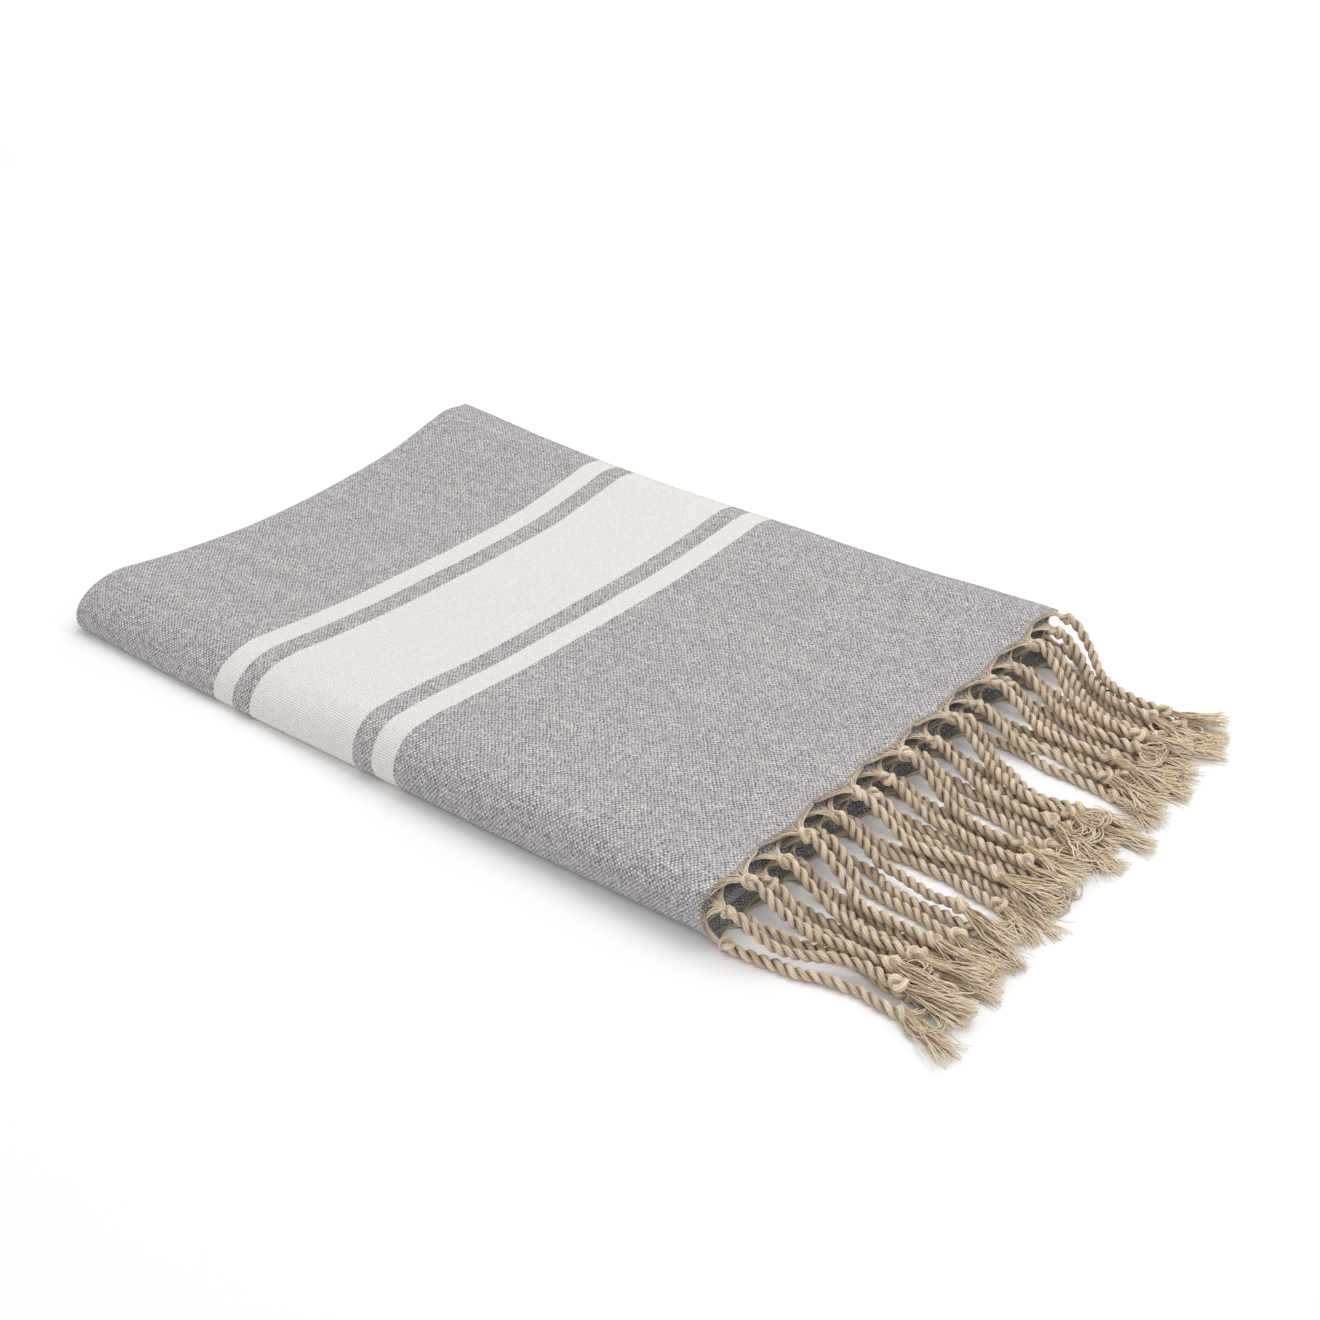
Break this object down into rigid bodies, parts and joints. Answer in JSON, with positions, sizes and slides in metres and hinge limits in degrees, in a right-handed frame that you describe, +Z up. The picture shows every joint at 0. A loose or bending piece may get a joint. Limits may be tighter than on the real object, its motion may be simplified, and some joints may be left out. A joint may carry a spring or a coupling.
{
  "type": "folded hammam towel",
  "caption": "Flat-woven cotton hammam towel with a band of stripes, folded into a rectangular stack, with knotted and twisted fringes.",
  "frame": {"origin": "centre of the folded cloth's flat underside, level with the surface it lies on", "axes": "+X along the stack towards the fringed end, +Y from the front roll to the back, +Z up"},
  "size_m": [0.6498, 0.3646, 0.0345],
  "materials": {
    "cloth": "matt flat-woven cotton",
    "fringe": "matt twisted cotton"
  },
  "bodies": {
    "root": {"cloth": "cloth", "fringe_first_end": "fringe", "fringe_second_end": "fringe"}
  },
  "joints": []
}
